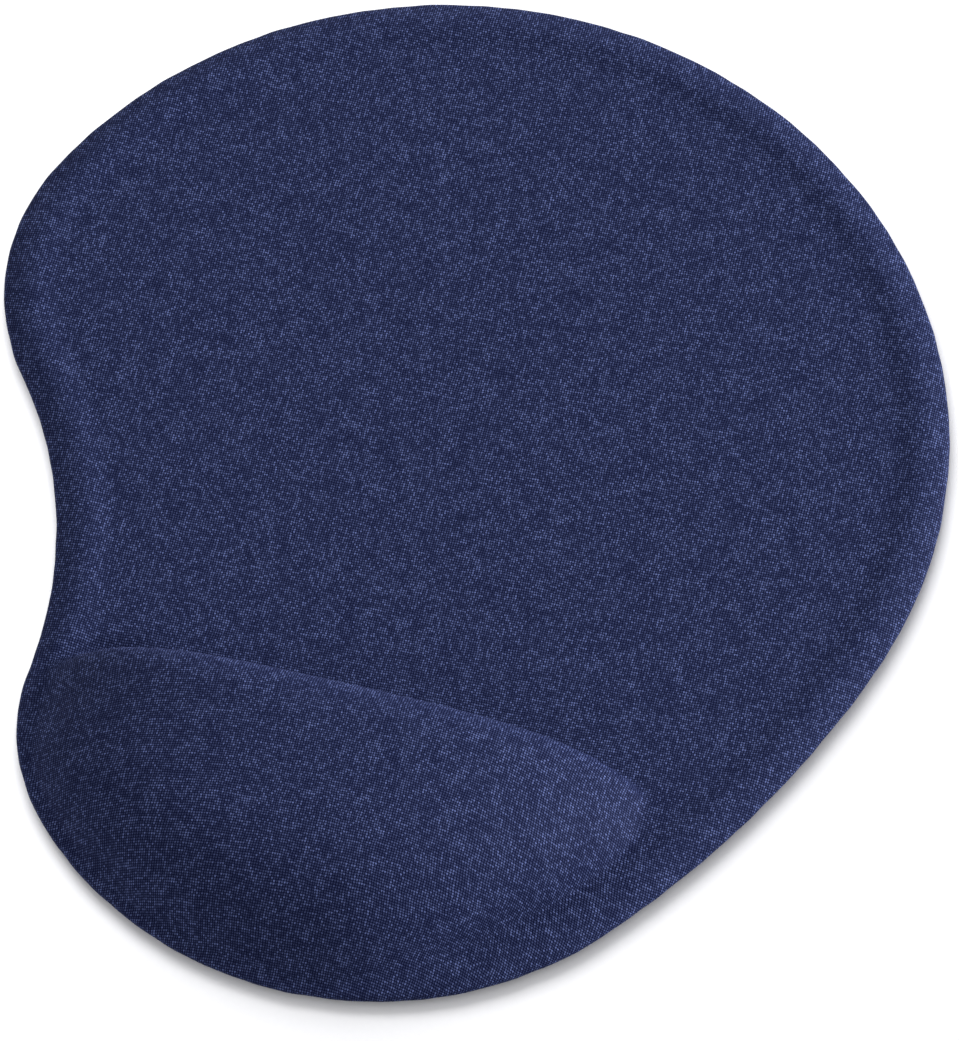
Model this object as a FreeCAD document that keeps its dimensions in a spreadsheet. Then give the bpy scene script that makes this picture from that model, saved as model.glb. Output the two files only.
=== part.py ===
import FreeCAD, Part
import math
import os
import Sketcher

# Ergonomic mouse pad whose front swells into a cushioned wrist rest. One sheet
# of stretch knit covers pad and rest, and is rolled round the edge and turned
# under. Millimetres, +Z up. The origin is on the table under the middle of the
# pad, +Y runs away from the user and +X to the right along the rest.

document = FreeCAD.newDocument("MousePadWithWristRest")
sheet = document.addObject("Spreadsheet::Sheet", "Sizes")

SIZES = {
    # The outline is six arcs, each tangent to the next.
    "pad_length": 250,
    "pad_width": 215,
    "crown_radius": 110,
    "flank_radius": 235,
    "front_radius": 82,
    "heel_radius": 46,
    "heel_drop": 24.4,
    "waist_radius": 103.5,
    "shoulder_radius": 53,
    "shoulder_shift": 52,
    # Layers, from the table up.
    "base_thickness": 1.0,
    "base_inset": 4.5,
    "base_edge": 0.3,
    "film_thickness": 0.15,
    "fabric_thickness": 0.6,
    "pad_height": 5.0,
    "edge_round": 1.85,
    "hem_width": 8.6,
    # The shallow recess inside the raised rim, where the mouse runs.
    "recess_inset": 9,
    "recess_depth": 0.75,
    # The cushion under the wrist, and the pouch inside it. Its front foot runs
    # inside the rim on the right and out to the pad's edge on the left.
    "rest_height": 20,
    "rest_foot": 3,
    "rest_shift": 1.5,
    "rest_half_span": 66,
    "rest_back": 56,
    "rest_corner": 10,
    "rest_inset_left": 2.5,
    "rest_inset_right": 10,
    "pouch_film": 0.3,
}

for row, (alias, number) in enumerate(SIZES.items(), start=1):
    sheet.set("A%d" % row, alias.replace("_", " "))
    sheet.set("B%d" % row, str(number))
    sheet.setAlias("B%d" % row, alias)
document.recompute()


def size(alias):
    """The number that a cell of the sheet holds."""
    return float(getattr(sheet, alias))


# Depth of each layer's outer face below the outside of the finished pad, as a
# spreadsheet expression, because every layer repeats the shape outside it.
OUTSIDE = "0"
UNDER_FABRIC = "Sizes.fabric_thickness"
UNDER_FILM = "(Sizes.fabric_thickness + Sizes.film_thickness)"
UNDER_POUCH = "(Sizes.fabric_thickness + Sizes.film_thickness + Sizes.pouch_film)"
HEM_LEVEL = "(Sizes.base_thickness + Sizes.film_thickness)"

DEPTHS = {
    OUTSIDE: 0.0,
    UNDER_FABRIC: size("fabric_thickness"),
    UNDER_FILM: size("fabric_thickness") + size("film_thickness"),
    UNDER_POUCH: size("fabric_thickness") + size("film_thickness") + size("pouch_film"),
}


# ---------------------------------------------------------------- the outline

def crossing(first, first_reach, second, second_reach):
    """The point at two given distances from two points, left of the line between them."""
    gap = second - first
    along = (gap.Length ** 2 + first_reach ** 2 - second_reach ** 2) / (2 * gap.Length)
    aside = math.sqrt(first_reach ** 2 - along ** 2)
    forward = gap / gap.Length
    left = FreeCAD.Vector(-forward.y, forward.x, 0)
    return first + forward * along + left * aside


def arc_centres():
    """Centres of the six arcs, which every inset outline shares."""
    half_length = size("pad_length") / 2
    axis = size("pad_width") / 2 - size("crown_radius")
    crown = FreeCAD.Vector(axis, half_length - size("crown_radius"), 0)
    front = FreeCAD.Vector(axis, size("front_radius") - half_length, 0)
    flank = crossing(
        front, size("flank_radius") - size("front_radius"),
        crown, size("flank_radius") - size("crown_radius"))
    shift = size("shoulder_shift")
    shoulder_reach = size("crown_radius") - size("shoulder_radius")
    shoulder = crown + FreeCAD.Vector(-shift, math.sqrt(shoulder_reach ** 2 - shift ** 2), 0)
    drop = size("heel_drop")
    heel_reach = size("front_radius") - size("heel_radius")
    heel = front + FreeCAD.Vector(-math.sqrt(heel_reach ** 2 - drop ** 2), -drop, 0)
    waist = crossing(
        heel, size("heel_radius") + size("waist_radius"),
        shoulder, size("shoulder_radius") + size("waist_radius"))
    return {"crown": crown, "shoulder": shoulder, "waist": waist,
            "heel": heel, "front": front, "flank": flank}


CENTRES = arc_centres()
ARC_ORDER = ["crown", "shoulder", "waist", "heel", "front", "flank"]


def meeting_point(name, neighbour, inset):
    """Where one inset arc touches the next: on the line through their centres."""
    radii = {arc: inset_radius(arc, inset) for arc in (name, neighbour)}
    if "waist" in radii:
        other = neighbour if name == "waist" else name
        towards = CENTRES["waist"] - CENTRES[other]
        return CENTRES[other] + towards / towards.Length * radii[other]
    large = max(radii, key=radii.get)
    small = min(radii, key=radii.get)
    towards = CENTRES[small] - CENTRES[large]
    return CENTRES[large] + towards / towards.Length * radii[large]


def inset_radius(name, inset):
    """A bulging arc shrinks with the inset, and the hollow waist grows."""
    return size(name + "_radius") + (inset if name == "waist" else -inset)


def add_arc(sketch, name, inset, start, end):
    """One arc of the outline, drawn anticlockwise between two points."""
    centre = CENTRES[name]
    circle = Part.Circle(centre, FreeCAD.Vector(0, 0, 1), inset_radius(name, inset))
    angles = [math.atan2(point.y - centre.y, point.x - centre.x) for point in (start, end)]
    if angles[1] < angles[0]:
        angles[1] += 2 * math.pi
    return sketch.addGeometry(Part.ArcOfCircle(circle, angles[0], angles[1]))


def bind(sketch, constraint, name, expression):
    """Adds a named dimension to a sketch and ties it to the sheet."""
    index = sketch.addConstraint(constraint)
    sketch.renameConstraint(index, name)
    sketch.setExpression("Constraints." + name, expression)


def bind_radii(sketch, arcs, inset, inset_text):
    """Every arc's radius, from the sheet and the inset."""
    for name, arc in arcs.items():
        sign = "+" if name == "waist" else "-"
        bind(sketch, Sketcher.Constraint("Radius", arc, inset_radius(name, inset)), name,
             "Sizes.%s_radius %s %s" % (name, sign, inset_text))


def bind_centre(sketch, arc, name, x_expression, y_expression):
    """A centre's distances from the sketch's origin, written so that both are positive."""
    for letter, kind, offset, expression in (
            ("x", "DistanceX", CENTRES[name].x, x_expression),
            ("y", "DistanceY", CENTRES[name].y, y_expression)):
        if expression is None:
            continue
        ends = (-1, 1, arc, 3) if offset > 0 else (arc, 3, -1, 1)
        bind(sketch, Sketcher.Constraint(kind, *ends, abs(offset)),
             name + "_centre_" + letter, expression)


AXIS_X = "Sizes.crown_radius - Sizes.pad_width / 2"
CROWN_Y = "Sizes.pad_length / 2 - Sizes.crown_radius"
FRONT_Y = "Sizes.pad_length / 2 - Sizes.front_radius"
SHOULDER_X = AXIS_X + " + Sizes.shoulder_shift"
HEEL_Y = FRONT_Y + " + Sizes.heel_drop"


def sketch_on_table(body, name, height_text):
    """An empty sketch parallel to the table, at a height from the sheet."""
    sketch = body.newObject("Sketcher::SketchObject", name)
    planes = {feature.Role: feature for feature in body.Origin.OriginFeatures}
    sketch.AttachmentSupport = [(planes["XY_Plane"], "")]
    sketch.MapMode = "FlatFace"
    sketch.setExpression("AttachmentOffset.Base.z", height_text)
    return sketch


def outline_sketch(body, name, inset_text, inset, height_text):
    """The whole outline: six tangent arcs, set in by a given amount."""
    sketch = sketch_on_table(body, name, height_text)
    arcs = {}
    for place, arc_name in enumerate(ARC_ORDER):
        before = ARC_ORDER[place - 1]
        after = ARC_ORDER[(place + 1) % len(ARC_ORDER)]
        start = meeting_point(before, arc_name, inset)
        end = meeting_point(arc_name, after, inset)
        if arc_name == "waist":
            start, end = end, start
        arcs[arc_name] = add_arc(sketch, arc_name, inset, start, end)
    for place, arc_name in enumerate(ARC_ORDER):
        after = ARC_ORDER[(place + 1) % len(ARC_ORDER)]
        end = 1 if arc_name == "waist" else 2
        start = 2 if after == "waist" else 1
        sketch.addConstraint(Sketcher.Constraint("Tangent", arcs[arc_name], end, arcs[after], start))
    bind_radii(sketch, arcs, inset, inset_text)
    bind_centre(sketch, arcs["crown"], "crown", AXIS_X, CROWN_Y)
    bind_centre(sketch, arcs["front"], "front", AXIS_X, FRONT_Y)
    bind_centre(sketch, arcs["shoulder"], "shoulder", SHOULDER_X, None)
    bind_centre(sketch, arcs["heel"], "heel", None, HEEL_Y)
    return sketch


# ------------------------------------------------------------ slabs and plates

def new_body(name):
    return document.addObject("PartDesign::Body", name)


def pad_up(body, sketch, name, length_text):
    """Thickens a sketch upwards."""
    pad = body.newObject("PartDesign::Pad", name)
    pad.Profile = sketch
    pad.setExpression("Length", length_text)
    document.recompute()
    return pad


def edges_at(shape, height):
    """Names of the edges that lie flat at a given height."""
    names = []
    for place, edge in enumerate(shape.Edges, start=1):
        box = edge.BoundBox
        if abs(box.ZMin - height) < 1e-4 and abs(box.ZMax - height) < 1e-4:
            names.append("Edge%d" % place)
    return names


def round_edges(body, base, name, heights, radius_text):
    """Rounds every edge that lies flat at the given heights."""
    fillet = body.newObject("PartDesign::Fillet", name)
    edges = []
    for height in heights:
        edges += edges_at(base.Shape, height)
    fillet.Base = (base, edges)
    fillet.setExpression("Radius", radius_text)
    document.recompute()
    return fillet


def layer_slab(name, depth_text):
    """The flat part of the pad, as it is at a given depth below its outside."""
    depth = DEPTHS[depth_text]
    body = new_body(name)
    bottom = "%s + %s" % (HEM_LEVEL, depth_text)
    top = "Sizes.pad_height - %s" % depth_text
    sketch = outline_sketch(body, name + "_outline", depth_text, depth, bottom)
    slab = pad_up(body, sketch, name + "_slab", "(%s) - (%s)" % (top, bottom))
    box = slab.Shape.BoundBox
    rounded = round_edges(body, slab, name + "_roll", (box.ZMin, box.ZMax),
                          "Sizes.edge_round - %s" % depth_text)
    recess = outline_sketch(body, name + "_recess_outline",
                            "(Sizes.recess_inset - %s)" % depth_text,
                            size("recess_inset") - depth, top)
    pocket = body.newObject("PartDesign::Pocket", name + "_recess")
    pocket.Profile = recess
    pocket.setExpression("Length", "Sizes.recess_depth")
    document.recompute()
    if pocket.Shape.Volume >= rounded.Shape.Volume - 1:
        raise RuntimeError("the recess of %s cuts nothing" % name)
    body.Tip = pocket
    return body


def plate(name, inset_text, inset, bottom_text, thickness_text):
    """A plain plate with the pad's outline, set in by a given amount."""
    body = new_body(name)
    sketch = outline_sketch(body, name + "_outline", inset_text, inset, bottom_text)
    body.Tip = pad_up(body, sketch, name + "_plate", thickness_text)
    return body


# -------------------------------------------------------------- the wrist rest

# Cross-section of the cushion: distance from its back foot to its front foot,
# and height, both as fractions. The back is a steep wall, the top nearly flat
# and the front a slope that steepens towards the foot.
REST_PROFILE = [(0, 0), (0.03, 0.66), (0.07, 0.84), (0.14, 0.95), (0.30, 1),
                (0.50, 0.985), (0.68, 0.88), (0.84, 0.60), (1, 0)]
REST_STATIONS = 13
LAST_STATION = 0.96
# Stretch of the span, at -1..1, over which the front foot leaves the rim.
FOOT_TURN = (0.1, 0.68)
# How late the height falls off towards the left end and the right end.
END_POWERS = (3.0, 2.2)


def rest_inset_at(station):
    """How far the front foot is set in from the pad's edge."""
    start, end = FOOT_TURN
    part = min(1.0, max(0.0, (station - start) / (end - start)))
    left, right = size("rest_inset_left"), size("rest_inset_right")
    return left + (right - left) * part * part * (3 - 2 * part)


def rest_section(station, depth):
    """One closed section of the cushion across the pad, at -1..1 along its span."""
    half_span = size("rest_half_span") - depth
    axis = CENTRES["front"].x
    across = axis - size("rest_shift") + station * half_span
    front_reach = size("front_radius") - rest_inset_at(station) - depth
    front = CENTRES["front"].y - math.sqrt(front_reach ** 2 - (across - axis) ** 2)
    corner = size("rest_corner") * (1 - math.sqrt(1 - abs(station) ** 5))
    back = -size("rest_back") - depth - corner
    foot = size("rest_foot")
    fall = abs(station) ** END_POWERS[0 if station < 0 else 1]
    height = (size("rest_height") - foot - depth) * (1 - fall)
    points = []
    for along, up in REST_PROFILE:
        points.append(FreeCAD.Vector(across, back + along * (front - back), foot + up * height))
    crest = Part.BSplineCurve()
    crest.interpolate(points)
    floor = Part.LineSegment(points[-1], points[0])
    return Part.Wire([crest.toShape(), floor.toShape()])


def rest_form(name, depth_text):
    """The cushion's shape at a given depth below its outside, sunk a little into the pad."""
    form = document.addObject("Part::Feature", name)
    stations = [LAST_STATION * math.sin(math.pi / 2 * (2 * place / (REST_STATIONS - 1) - 1))
                for place in range(REST_STATIONS)]
    sections = [rest_section(station, DEPTHS[depth_text]) for station in stations]
    form.Shape = Part.makeLoft(sections, True, False)
    form.Placement = FreeCAD.Placement()
    return form


def box_between(name, bottom_text, top_text):
    """A box wider than the pad between two heights."""
    box = document.addObject("Part::Box", name)
    box.setExpression("Length", "Sizes.pad_width * 2")
    box.setExpression("Width", "Sizes.pad_length * 2")
    box.setExpression("Height", "(%s) - (%s)" % (top_text, bottom_text))
    box.setExpression("Placement.Base.x", "-Sizes.pad_width")
    box.setExpression("Placement.Base.y", "-Sizes.pad_length")
    box.setExpression("Placement.Base.z", bottom_text)
    return box


def combine(kind, name, base, tool):
    """A Part boolean: Cut, Fuse or Common."""
    result = document.addObject("Part::" + kind, name)
    result.Base = base
    result.Tool = tool
    document.recompute()
    return result


# --------------------------------------------------------------- the sub-parts

def envelope(name, depth_text):
    """Pad and rest together, as they are at a given depth below the outside."""
    slab = layer_slab(name + "_pad", depth_text)
    form = rest_form(name + "_rest", depth_text)
    return combine("Fuse", name, slab, form), slab, form


def make_fabric_layers():
    """The cover and the film under it: shells, open underneath inside the hem."""
    outside, _, _ = envelope("outside", OUTSIDE)
    under_fabric, _, _ = envelope("under_fabric", UNDER_FABRIC)
    under_film, foam_slab, pouch_form = envelope("under_film", UNDER_FILM)
    opening = plate("hem_opening", "Sizes.hem_width", size("hem_width"),
                    HEM_LEVEL, UNDER_FILM)
    cover = combine("Cut", "cover_fabric", combine("Cut", "cover_shell", outside, under_fabric),
                    opening)
    film = combine("Cut", "fabric_adhesive_film",
                   combine("Cut", "film_shell", under_fabric, under_film), opening)
    return cover, film, foam_slab, pouch_form


FOAM_TOP = "Sizes.pad_height - Sizes.recess_depth - " + UNDER_FILM
WELL_ABOVE = "Sizes.rest_height * 2"


def make_pad_foam(foam_slab, pouch_form):
    """The foam sheet: a platform underneath fills the hem's opening, and the pouch has a seat."""
    platform = plate("foam_platform", "Sizes.hem_width", size("hem_width"),
                     HEM_LEVEL, UNDER_FILM + " + Sizes.film_thickness")
    seat = combine("Common", "pouch_seat", box_between("seat_band", FOAM_TOP, WELL_ABOVE), pouch_form)
    return combine("Cut", "pad_foam", combine("Fuse", "whole_foam", foam_slab, platform), seat)


def make_pouch(pouch_form):
    """The filling and its two film skins, which rest on the foam."""
    film_top = FOAM_TOP + " + Sizes.pouch_film"
    lower = combine("Common", "gel_film_lower",
                    box_between("lower_film_band", FOAM_TOP, film_top), pouch_form)
    gel_form = rest_form("gel_form", UNDER_POUCH)
    gel = combine("Common", "gel_core", box_between("gel_band", film_top, WELL_ABOVE), gel_form)
    dome = combine("Common", "pouch_dome", box_between("dome_band", film_top, WELL_ABOVE), pouch_form)
    upper = combine("Cut", "gel_film_upper", dome, gel_form)
    return lower, gel, upper


def make_base():
    """The non-slip sheet and the film that bonds it, set in from the edge."""
    body = plate("base_sheet", "Sizes.base_inset", size("base_inset"),
                 "0", "Sizes.base_thickness")
    body.Tip = round_edges(body, body.Tip, "base_sheet_edge", (0.0,), "Sizes.base_edge")
    film = plate("base_adhesive_film", "Sizes.base_inset", size("base_inset"),
                 "Sizes.base_thickness", "Sizes.film_thickness")
    return body, film


cover, fabric_film, foam_slab, pouch_form = make_fabric_layers()
foam = make_pad_foam(foam_slab, pouch_form)
lower_film, gel, upper_film = make_pouch(pouch_form)
base_sheet, base_film = make_base()

SUB_PARTS = {
    "cover_fabric": cover,
    "fabric_adhesive_film": fabric_film,
    "pad_foam": foam,
    "gel_core": gel,
    "gel_film_upper": upper_film,
    "gel_film_lower": lower_film,
    "base_adhesive_film": base_film,
    "base_sheet": base_sheet,
}

for node, piece in SUB_PARTS.items():
    piece.Label = node
document.recompute()

for thing in document.Objects:
    if "Invalid" in thing.State or "Error" in thing.State:
        raise RuntimeError("%s did not compute: %s" % (thing.Name, thing.State))

os.makedirs("parts", exist_ok=True)
for node, piece in SUB_PARTS.items():
    shape = piece.Shape
    if shape.isNull() or not shape.isValid():
        raise RuntimeError("%s has no valid shape" % node)
    shape.exportStep("parts/%s.step" % node)
    box = shape.optimalBoundingBox()
    print("%-22s %d solid(s) %9.1f mm3   x %7.2f %7.2f  y %7.2f %7.2f  z %6.2f %6.2f" % (
        node, len(shape.Solids), shape.Volume,
        box.XMin, box.XMax, box.YMin, box.YMax, box.ZMin, box.ZMax))
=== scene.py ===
# %% [markdown]
# # A mouse pad with a built-in wrist rest
#
# The object is a flat pad whose front swells into a soft cushion for the
# wrist. One sheet of navy stretch knit covers pad and cushion, rolls round the
# edge and is turned under, and a thin black non-slip sheet closes the
# underside. The frame gives every layer its place. This script gives every
# layer its true surface, from the knit outside to the gel inside.

# %% Load the frame
import math

import bmesh
import bpy
import numpy as np
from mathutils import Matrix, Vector, geometry, kdtree


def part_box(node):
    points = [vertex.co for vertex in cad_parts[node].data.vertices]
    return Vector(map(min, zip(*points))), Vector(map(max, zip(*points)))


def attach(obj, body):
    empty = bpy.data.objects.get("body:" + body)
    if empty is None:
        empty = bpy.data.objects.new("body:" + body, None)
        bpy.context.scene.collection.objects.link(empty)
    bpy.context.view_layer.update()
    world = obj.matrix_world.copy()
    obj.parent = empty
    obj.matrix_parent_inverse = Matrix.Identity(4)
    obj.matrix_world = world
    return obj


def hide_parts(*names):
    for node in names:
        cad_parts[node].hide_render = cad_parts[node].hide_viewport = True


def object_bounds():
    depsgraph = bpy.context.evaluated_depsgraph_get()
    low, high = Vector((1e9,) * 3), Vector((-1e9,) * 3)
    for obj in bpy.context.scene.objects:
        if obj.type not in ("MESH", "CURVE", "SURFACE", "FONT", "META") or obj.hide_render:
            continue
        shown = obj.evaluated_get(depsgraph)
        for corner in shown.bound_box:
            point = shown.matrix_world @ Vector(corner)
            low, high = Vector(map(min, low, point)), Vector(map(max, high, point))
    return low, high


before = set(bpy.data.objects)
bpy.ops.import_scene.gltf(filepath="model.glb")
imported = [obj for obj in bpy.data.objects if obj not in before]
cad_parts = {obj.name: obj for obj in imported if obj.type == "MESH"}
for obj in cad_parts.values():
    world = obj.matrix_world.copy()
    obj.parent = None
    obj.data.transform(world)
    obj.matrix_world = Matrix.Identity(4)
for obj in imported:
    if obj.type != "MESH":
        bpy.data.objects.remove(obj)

cad_low, cad_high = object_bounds()
print("frame nodes:", ", ".join(sorted(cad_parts)))

# %% [markdown]
# ## The outline
#
# A pad like this is cut with a steel-rule die, and its outline is drawn with a
# compass: six arcs, each tangent to the next. Five bulge, and one, the waist
# beside the thumb, is hollow. It could be traced as a spline, but arcs stay
# parallel when the outline is set in, and every layer needs it set in by a
# different amount. So each point keeps its place and the way it faces.

# %% Lengths of the outline, in millimetres
MM = 0.001
pad_width = (cad_high.x - cad_low.x) / MM
pad_length = (cad_high.y - cad_low.y) / MM
RADIUS = {"crown": 110.0, "shoulder": 53.0, "waist": 103.5,
          "heel": 46.0, "front": 82.0, "flank": 235.0}
SHOULDER_SHIFT = 52.0
HEEL_DROP = 24.4
print("pad %.1f x %.1f mm" % (pad_width, pad_length))


# %% Centres of the six arcs
def meeting(first, first_reach, second, second_reach):
    """The point at two given distances from two points, left of the line between them."""
    gap = second - first
    length = np.hypot(*gap)
    along = (length ** 2 + first_reach ** 2 - second_reach ** 2) / (2 * length)
    aside = math.sqrt(first_reach ** 2 - along ** 2)
    return first + (gap * along + np.array([-gap[1], gap[0]]) * aside) / length


axis_x = pad_width / 2 - RADIUS["crown"]
crown = np.array([axis_x, pad_length / 2 - RADIUS["crown"]])
front = np.array([axis_x, RADIUS["front"] - pad_length / 2])
flank = meeting(front, RADIUS["flank"] - RADIUS["front"],
                crown, RADIUS["flank"] - RADIUS["crown"])
shoulder_reach = RADIUS["crown"] - RADIUS["shoulder"]
shoulder = crown + [-SHOULDER_SHIFT, math.sqrt(shoulder_reach ** 2 - SHOULDER_SHIFT ** 2)]
heel_reach = RADIUS["front"] - RADIUS["heel"]
heel = front - [math.sqrt(heel_reach ** 2 - HEEL_DROP ** 2), HEEL_DROP]
waist = meeting(heel, RADIUS["heel"] + RADIUS["waist"],
                shoulder, RADIUS["shoulder"] + RADIUS["waist"])
CENTRE = {"crown": crown, "shoulder": shoulder, "waist": waist,
          "heel": heel, "front": front, "flank": flank}
for arc, (x, y) in CENTRE.items():
    print("%s: radius %.1f round (%.1f, %.1f)" % (arc, RADIUS[arc], x, y))

# %% Points along the outline
EDGE_STEP = 1.4


def touch_angle(arc, other):
    """Direction, from an arc's centre, of the point where it touches another arc."""
    gap = CENTRE[other] - CENTRE[arc]
    if "waist" not in (arc, other) and RADIUS[arc] < RADIUS[other]:
        gap = -gap
    return math.atan2(gap[1], gap[0])


def walk_outline(step):
    """Points round the outline anticlockwise, the way outwards at each, and its bend."""
    order = list(RADIUS)
    points, outwards, bends = [], [], []
    for place, arc in enumerate(order):
        start = touch_angle(arc, order[place - 1])
        turn = (touch_angle(arc, order[(place + 1) % len(order)]) - start) % (2 * math.pi)
        if arc == "waist":
            turn -= 2 * math.pi
        count = max(2, round(abs(turn) * RADIUS[arc] / step))
        angle = start + turn * np.arange(count) / count
        way = np.stack([np.cos(angle), np.sin(angle)], axis=1)
        side = -1 if arc == "waist" else 1
        points.append(CENTRE[arc] + RADIUS[arc] * way)
        outwards.append(side * way)
        bends.append(np.full(count, side / RADIUS[arc]))
    return np.concatenate(points), np.concatenate(outwards), np.concatenate(bends)


edge, outward, bend = walk_outline(EDGE_STEP)
around = len(edge)
print("outline:", around, "points")

# %% [markdown]
# ## The edge
#
# The knit is drawn tight over the foam's rounded edge and glued underneath.
# Cut across, the edge is a flat hem, a tight roll, a bevel that climbs to a
# soft bead, and inside the bead a shallow dish where the mouse runs. The bead
# is what catches the light all round the pad. A bevel modifier would round
# every edge alike, so the section is written out as a height over the inset.

# %% Section of the edge
hem_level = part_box("cover_fabric")[0].z / MM
HEM_WIDTH = 8.6
ROLL = 1.3
ROLL_END = math.radians(65)
BEAD_INSET, BEAD_HEIGHT = 6.5, 5.0
DISH_INSET, DISH_HEIGHT = 12.5, 4.25


def smoothstep(t):
    t = np.clip(t, 0, 1)
    return t * t * (3 - 2 * t)


def rim_height(inset):
    """Height of the pad's face at a distance inside the outline, from the roll inwards."""
    start = ROLL * (1 - math.cos(ROLL_END))
    level = hem_level + ROLL * (1 + math.sin(ROLL_END))
    slope = (BEAD_INSET - start) / math.tan(ROLL_END)
    rise = BEAD_HEIGHT - level
    climb = np.clip((inset - start) / (BEAD_INSET - start), 0, 1)
    # A cubic that leaves the roll at the roll's slope and arrives level on the bead.
    bend_up, bend_down = 3 * rise - 2 * slope, slope - 2 * rise
    bevel = level + slope * climb + bend_up * climb ** 2 + bend_down * climb ** 3
    sink = smoothstep((inset - BEAD_INSET) / (DISH_INSET - BEAD_INSET))
    return bevel - (BEAD_HEIGHT - DISH_HEIGHT) * sink


print("edge: roll %.1f mm, bead %.1f mm high, dish %.2f mm high" % (ROLL, BEAD_HEIGHT, DISH_HEIGHT))

# %% [markdown]
# ## The cushion
#
# Seen from above the cushion is a half moon: a straight back and a front that
# follows the pad. Cut from back to front it has a steep wall with a tight
# bend at its top, a nearly flat top and a slope that steepens towards the
# foot, which on the left runs out to the pad's edge. A lattice or a sculpt
# could make it, but one profile scaled by one crest line needs only a few
# numbers, and each can be understood.

# %% Swell of the cushion
REST_TOP = cad_high.z / MM
REST_LEFT, REST_RIGHT = -70.0, 62.0
REST_MIDDLE, REST_HALF = (REST_LEFT + REST_RIGHT) / 2, (REST_RIGHT - REST_LEFT) / 2
# The back is straight, and turns forward by the corner's depth only near its ends.
REST_BACK, REST_CORNER, CORNER_POWER = -56.0, 10.0, 5
# Share of the way from back to front where the crest runs.
CREST_PLACE = 0.30
# The higher a power, the later and tighter the bend.
WALL_POWER, FRONT_POWER = 4.0, 4.0
LEFT_POWER, RIGHT_POWER = 3.2, 2.6
LEFT_LEDGE, LEDGE_POWER = 0.12, 16
# How far inside the outline the front foot runs, and where it changes over.
FOOT_LEFT, FOOT_RIGHT = 2.5, 11.0
TURN_START, TURN_END = 5.0, 44.0


def foot_under(arc, x, inset):
    """Front edge of the footprint along one arc of the outline, set in."""
    reach = RADIUS[arc] - inset
    aside = np.clip(x - CENTRE[arc][0], 0.5 - reach, reach - 0.5)
    return CENTRE[arc][1] - np.sqrt(reach ** 2 - aside ** 2)


def cushion_places(x):
    """How far along the cushion's span x lies, and its back and front foot there."""
    along = np.clip((x - REST_MIDDLE) / REST_HALF, -1, 1)
    back = REST_BACK - REST_CORNER * (1 - np.sqrt(1 - np.abs(along) ** CORNER_POWER))
    turned = smoothstep((x - TURN_START) / (TURN_END - TURN_START))
    inset = FOOT_LEFT + (FOOT_RIGHT - FOOT_LEFT) * turned
    touch = front[0] + (RADIUS["front"] - inset) * (heel[0] - front[0]) / heel_reach
    foot = np.where(x < touch, foot_under("heel", x, inset), foot_under("front", x, inset))
    return along, back, foot


def cushion_rise(x, y):
    """Height of the cushion above the dish, nothing outside its footprint."""
    along, back, foot = cushion_places(x)
    across = (back - y) / np.maximum(back - foot, 1)
    behind = np.clip((CREST_PLACE - across) / CREST_PLACE, 0, 1)
    ahead = np.clip((across - CREST_PLACE) / (1 - CREST_PLACE), 0, 1)
    wall = (1 - behind ** WALL_POWER) ** (1 / WALL_POWER)
    profile = np.where(across < CREST_PLACE, wall, 1 - ahead ** FRONT_POWER)
    ends = 1 - np.abs(along) ** np.where(along < 0, LEFT_POWER, RIGHT_POWER)
    # The left end is a low ledge rather than a feather edge.
    ledge = LEFT_LEDGE + (1 - LEFT_LEDGE) * ends
    ledge = ledge * np.sqrt(1 - np.abs(along) ** LEDGE_POWER)
    ends = np.where(along < 0, ledge, ends)
    inside = (across > 0) & (across < 1)
    return np.where(inside, (REST_TOP - DISH_HEIGHT) * ends * profile, 0)


print("cushion: %.0f mm long, %.1f mm above the dish" % (2 * REST_HALF, REST_TOP - DISH_HEIGHT))

# %% Pad and cushion as one face
FILLET = 1.2
# The tuck's depth, its width, and how far behind the cushion's back it runs.
TUCK, TUCK_WIDTH, TUCK_BEHIND = 1.1, 1.8, 2.6
# It is full over the first stretch of the cushion and fades over the next.
TUCK_FULL, TUCK_FADE = 6, 18
# Distances inside the outline over which the tuck and the cushion set in.
TUCK_SET_IN, FACE_SET_IN = 5, 2


def tuck_depth(x, y, inset):
    """The knit is tucked down where the cushion's left end meets the rim."""
    _, back, _ = cushion_places(x)
    reach = 1 - smoothstep((x - REST_LEFT - TUCK_FULL) / TUCK_FADE)
    groove = np.exp(-((y - back - TUCK_BEHIND) / TUCK_WIDTH) ** 2)
    return TUCK * reach * groove * smoothstep(inset / TUCK_SET_IN)


def blend_max(a, b, width):
    """The larger of two heights, with the corner between them rounded."""
    share = np.clip(0.5 + 0.5 * (a - b) / width, 0, 1)
    return b + (a - b) * share + width * share * (1 - share)


def face_height(x, y, inset):
    """The knit bridges the corner where the cushion leaves the pad, as tight cloth does."""
    rim = rim_height(inset)
    rise = cushion_rise(x, y)
    swell = DISH_HEIGHT + rise - FILLET * (1 - smoothstep(rise / FILLET))
    face = rim + (blend_max(swell, rim, FILLET) - rim) * smoothstep(inset / FACE_SET_IN)
    return face - tuck_depth(x, y, inset)


print("tuck: up to %.1f mm deep, %.1f mm wide" % (TUCK, 2 * TUCK_WIDTH))

# %% [markdown]
# ## The net
#
# The cover needs small faces where it bends, at the roll and on the cushion,
# and fewer on the flat. So its net is rings near the edge, which follow the
# outline, and inside them an even field of points joined by a Delaunay
# triangulation. The field is nearly twice as dense on the cushion.

# %% Rings of the edge
FIELD_INSET = 14.0
HEM_RINGS, ROLL_RINGS, BEVEL_RINGS = 7, 11, 15


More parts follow.
